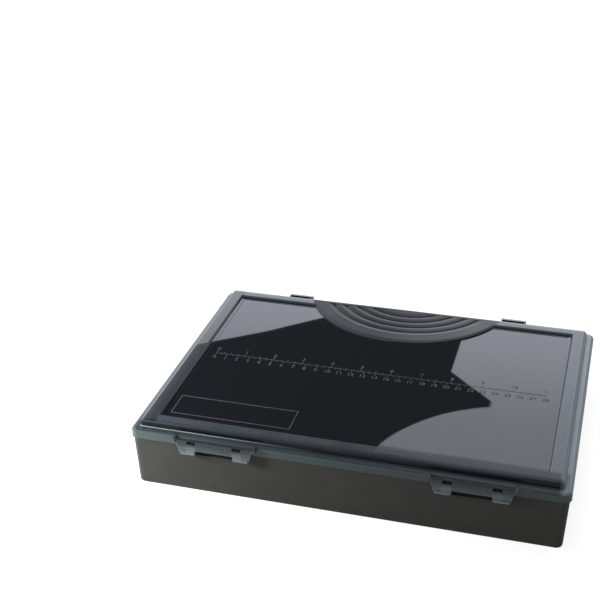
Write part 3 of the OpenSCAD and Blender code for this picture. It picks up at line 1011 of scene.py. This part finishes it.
@dataclass(frozen=True)
class Room:
    """Light all round. What shines shows a white room, a dark card and a dim ceiling.

    The places are slopes of a ray that leaves the box: across is its x and along its y, to each
    unit of height.
    """

    ambient: float = 0.36
    tint: Rgba = (0.91, 0.95, 1.06, 1.0)
    rise: Fade = (1.55, 1.88, 1.02, 1.32)
    far_side: Fade = (0.25, 0.6, 1.0, 0.35)
    ceiling_along: Span = (1.482, 1.468)
    ceiling_across: Span = (-0.72, -0.66)
    ceiling_level: float = 0.24
    card_soft: float = 0.001
    card_level: float = 0.05
    card_back: tuple[Edge, ...] = ((-0.635, 1.719, -0.595, 0.804), (-0.477, 1.851, -0.669, 0.743))
    card_side: tuple[Edge, ...] = ((-0.231, 1.717, 1.0, 0.0), (-0.160, 1.646, 0.712, 0.702))
    card_left: Edge = (-0.664, 1.6, -1.0, 0.0)
    card_right: Span = (-0.160, -0.152)
    disc_centre: Span = (-0.0581, 1.39)
    disc_radius: float = 0.256

    def beyond(self, graph: Graph, across: Any, along: Any, edge: Edge) -> bpy.types.NodeSocket:
        """Finds what lies past a straight edge of the dark card.

        Args:
            graph: Graph of the world.
            across: Sideways slope of the ray.
            along: Slope of the ray away from the camera.
            edge: Point on the edge, and the direction that leads away from the card.

        Returns:
            One past the edge, none on its near side.
        """
        at_across, at_along, out_across, out_along = edge
        sideways = graph.math("MULTIPLY", graph.math("SUBTRACT", across, at_across), out_across)
        onward = graph.math("MULTIPLY", graph.math("SUBTRACT", along, at_along), out_along)
        return graph.ramp(graph.math("ADD", sideways, onward), -self.card_soft, self.card_soft)

    def card(self, graph: Graph, across: Any, along: Any) -> bpy.types.NodeSocket:
        """Finds the rays that pass the dark card that hangs over the box.

        Args:
            graph: Graph of the world.
            across: Sideways slope of the ray.
            along: Slope of the ray away from the camera.

        Returns:
            One where a ray passes the card, none where it meets it.
        """
        back, side = (graph.fold("MULTIPLY", [self.beyond(graph, across, along, edge)
                                              for edge in edges])
                      for edges in (self.card_back, self.card_side))
        slopes = graph.add("ShaderNodeCombineXYZ", X=across, Y=along).outputs[0]
        from_centre = graph.vector("DISTANCE", slopes, (*self.disc_centre, 0.0))
        disc = graph.ramp(from_centre, self.disc_radius + self.card_soft,
                          self.disc_radius - self.card_soft)
        return graph.fold("MAXIMUM", (back, side, disc, graph.ramp(across, *self.card_right),
                                      self.beyond(graph, across, along, self.card_left)))

    def build(self) -> None:
        """Makes the world."""
        world = bpy.data.worlds.new("world")
        bpy.context.scene.world = world
        world.use_nodes = True
        world.node_tree.nodes.clear()
        graph = Graph(world.node_tree)
        path = graph.add("ShaderNodeLightPath").outputs
        x, y, z = graph.split(graph.add("ShaderNodeTexCoord").outputs["Generated"])
        rise = graph.math("MAXIMUM", z, 0.01)
        across = graph.math("DIVIDE", x, rise)
        along = graph.math("DIVIDE", y, rise)
        ceiling = graph.steps((along, self.ceiling_along), (across, self.ceiling_across))
        walls = graph.math("MULTIPLY", graph.ramp(along, *self.rise),
                           graph.ramp(across, *self.far_side))
        shiny = graph.blend(ceiling, walls, self.ceiling_level)
        shiny = graph.blend(self.card(graph, across, along), self.card_level, shiny)
        level = graph.blend(path["Is Glossy Ray"], self.ambient, shiny)
        level = graph.blend(path["Is Transmission Ray"], level, 1.0)
        level = graph.blend(path["Is Camera Ray"], level, 1.0)
        tint = graph.mix(path["Is Glossy Ray"], WHITE, self.tint)
        light = graph.add("ShaderNodeBackground", Color=tint, Strength=level)
        graph.add("ShaderNodeOutputWorld", Surface=light.outputs[0])


@dataclass(frozen=True)
class SoftBox:
    """Square lamp: its place, what it faces, its side, its watts and its spread in degrees."""

    place: Triple
    target: Triple
    size: float
    power: float
    spread: float

    def build(self, name: str) -> None:
        """Hangs the lamp, out of the reflections.

        Args:
            name: Name of the lamp.
        """
        data = bpy.data.lights.new(name, "AREA")
        data.shape = "SQUARE"
        data.size = self.size
        data.energy = self.power
        data.spread = math.radians(self.spread)
        lamp = bpy.data.objects.new(data.name, data)
        aim = Vector(self.target) - Vector(self.place)
        lamp.matrix_world = (Matrix.Translation(self.place)
                             @ aim.to_track_quat("-Z", "Y").to_matrix().to_4x4())
        lamp.visible_glossy = False
        bpy.context.scene.collection.objects.link(lamp)


@dataclass
class Studio:
    """Camera at the photograph's place, white ground and soft light."""

    camera_place: Triple = (0.178464, -0.863762, 0.569894)
    forward: Triple = (-0.25985, 0.85370, -0.45131)
    roll: float = math.radians(-1.079)
    lens: float = 73.154
    shift: Span = (0.03715, 0.00121)
    sensor: float = 36.0
    floor_half: float = 6.0
    floor_tone: Rgba = (0.4, 0.4, 0.4, 1.0)
    floor_fade: Fade = (0.5, 1.6, 0.84, 1.0)
    floor_shine: float = 0.15
    room: Room = field(default_factory=Room)
    lamps: tuple[SoftBox, ...] = (
        SoftBox((-0.4, -0.25, 0.17), (-0.22, -0.12, 0.03), 0.1, 0.71, 90.0),
        SoftBox((-0.3, 0.7, 1.6), (0.0, 0.0, 0.03), 1.2, 15.0, 180.0),
    )

    def build_camera(self) -> None:
        """Places the camera that took the photograph."""
        ahead = Vector(self.forward).normalized()
        right = ahead.cross(Vector((0, 0, 1))).normalized()
        up = right.cross(ahead)
        turn_right = right * math.cos(self.roll) + up * math.sin(self.roll)
        turn_up = up * math.cos(self.roll) - right * math.sin(self.roll)
        axes = Matrix((turn_right, turn_up, -ahead)).transposed()
        data = bpy.data.cameras.new("camera")
        data.lens = self.lens
        data.sensor_width = self.sensor
        data.shift_x, data.shift_y = self.shift
        data.clip_start = 0.01
        camera = bpy.data.objects.new("camera", data)
        camera.matrix_world = Matrix.Translation(self.camera_place) @ axes.to_4x4()
        bpy.context.scene.collection.objects.link(camera)
        bpy.context.scene.camera = camera

    def floor_material(self) -> bpy.types.Material:
        """Makes the floor's finish, white to the camera and grey to the lamps.

        Returns:
            The floor's material.
        """
        material = bpy.data.materials.new("floor")
        material.use_nodes = True
        material.node_tree.nodes.clear()
        graph = Graph(material.node_tree)
        shader = graph.add("ShaderNodeBsdfPrincipled", Base_Color=self.floor_tone, Roughness=0.9,
                           Specular_IOR_Level=0.0, Emission_Color=WHITE)
        path = graph.add("ShaderNodeLightPath").outputs
        shine = graph.math("MULTIPLY", path["Is Glossy Ray"], self.floor_shine)
        seen = graph.fold("MAXIMUM", (path["Is Camera Ray"], shine, path["Is Transmission Ray"]))
        place = graph.add("ShaderNodeTexCoord").outputs["Object"]
        glow = graph.ramp(graph.vector("LENGTH", place), *self.floor_fade)
        graph.feed(shader.inputs["Emission Strength"], graph.math("MULTIPLY", seen, glow))
        graph.add("ShaderNodeOutputMaterial", Surface=shader.outputs[0])
        return material

    def build_floor(self) -> None:
        """Lays a white floor that keeps the shadow of the box."""
        mesh = bmesh.new()
        bmesh.ops.create_grid(mesh, x_segments=1, y_segments=1, size=self.floor_half)
        data = bpy.data.meshes.new("floor")
        mesh.to_mesh(data)
        mesh.free()
        data.materials.append(self.floor_material())
        floor = bpy.data.objects.new("floor", data)
        bpy.context.scene.collection.objects.link(floor)

    def build(self) -> None:
        """Sets up the whole studio."""
        bpy.context.scene.view_settings.view_transform = "Standard"
        self.build_camera()
        self.build_floor()
        self.room.build()
        for number, lamp in enumerate(self.lamps):
            lamp.build(f"soft_box_{number}")
        LOG.info("studio: camera, floor, world and %d lamps", len(self.lamps))


# ---------------------------------------------------------------- the box


@dataclass
class TackleBox:
    """The whole box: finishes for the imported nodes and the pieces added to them."""

    effects: SharedEffects = field(default_factory=SharedEffects)

    def dress(self, nodes: Sequence[str], material: bpy.types.Material) -> None:
        """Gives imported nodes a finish.

        Args:
            nodes: Names of the nodes.
            material: Their finish.
        """
        for name in nodes:
            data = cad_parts[name].data
            data.materials.clear()
            data.materials.append(material)
        LOG.info("%s: on %d nodes", material.name, len(nodes))

    def build(self) -> None:
        """Dresses the nodes and adds the ruler and the latches' teeth."""
        nodes = sorted(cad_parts)
        clear = ClearLatch("latch_clear", self.effects).material()
        self.dress(["tray"], TrayPlastic("tray_olive", self.effects).material())
        self.dress(["lid"], SmokeLid("lid_smoke", self.effects).material())
        self.dress(["latch_left", "latch_right"], clear)
        self.dress([name for name in nodes if "pin" in name],
                   PinSteel("pin_steel", self.effects).material())
        self.dress([name for name in nodes if name.startswith("divider")],
                   DividerPlastic("divider_grey", self.effects).material())
        Ruler().build(FrostedRelief("frosted_relief", self.effects).material())
        LatchTeeth(-LATCH_X, Body.LATCH_LEFT).build(clear)
        LatchTeeth(LATCH_X, Body.LATCH_RIGHT).build(clear)


def main() -> None:
    """Builds the studio and the box."""
    logging.basicConfig(level=logging.INFO, format="%(name)s: %(message)s")
    Studio().build()
    TackleBox().build()


if __name__ == "__main__":
    main()
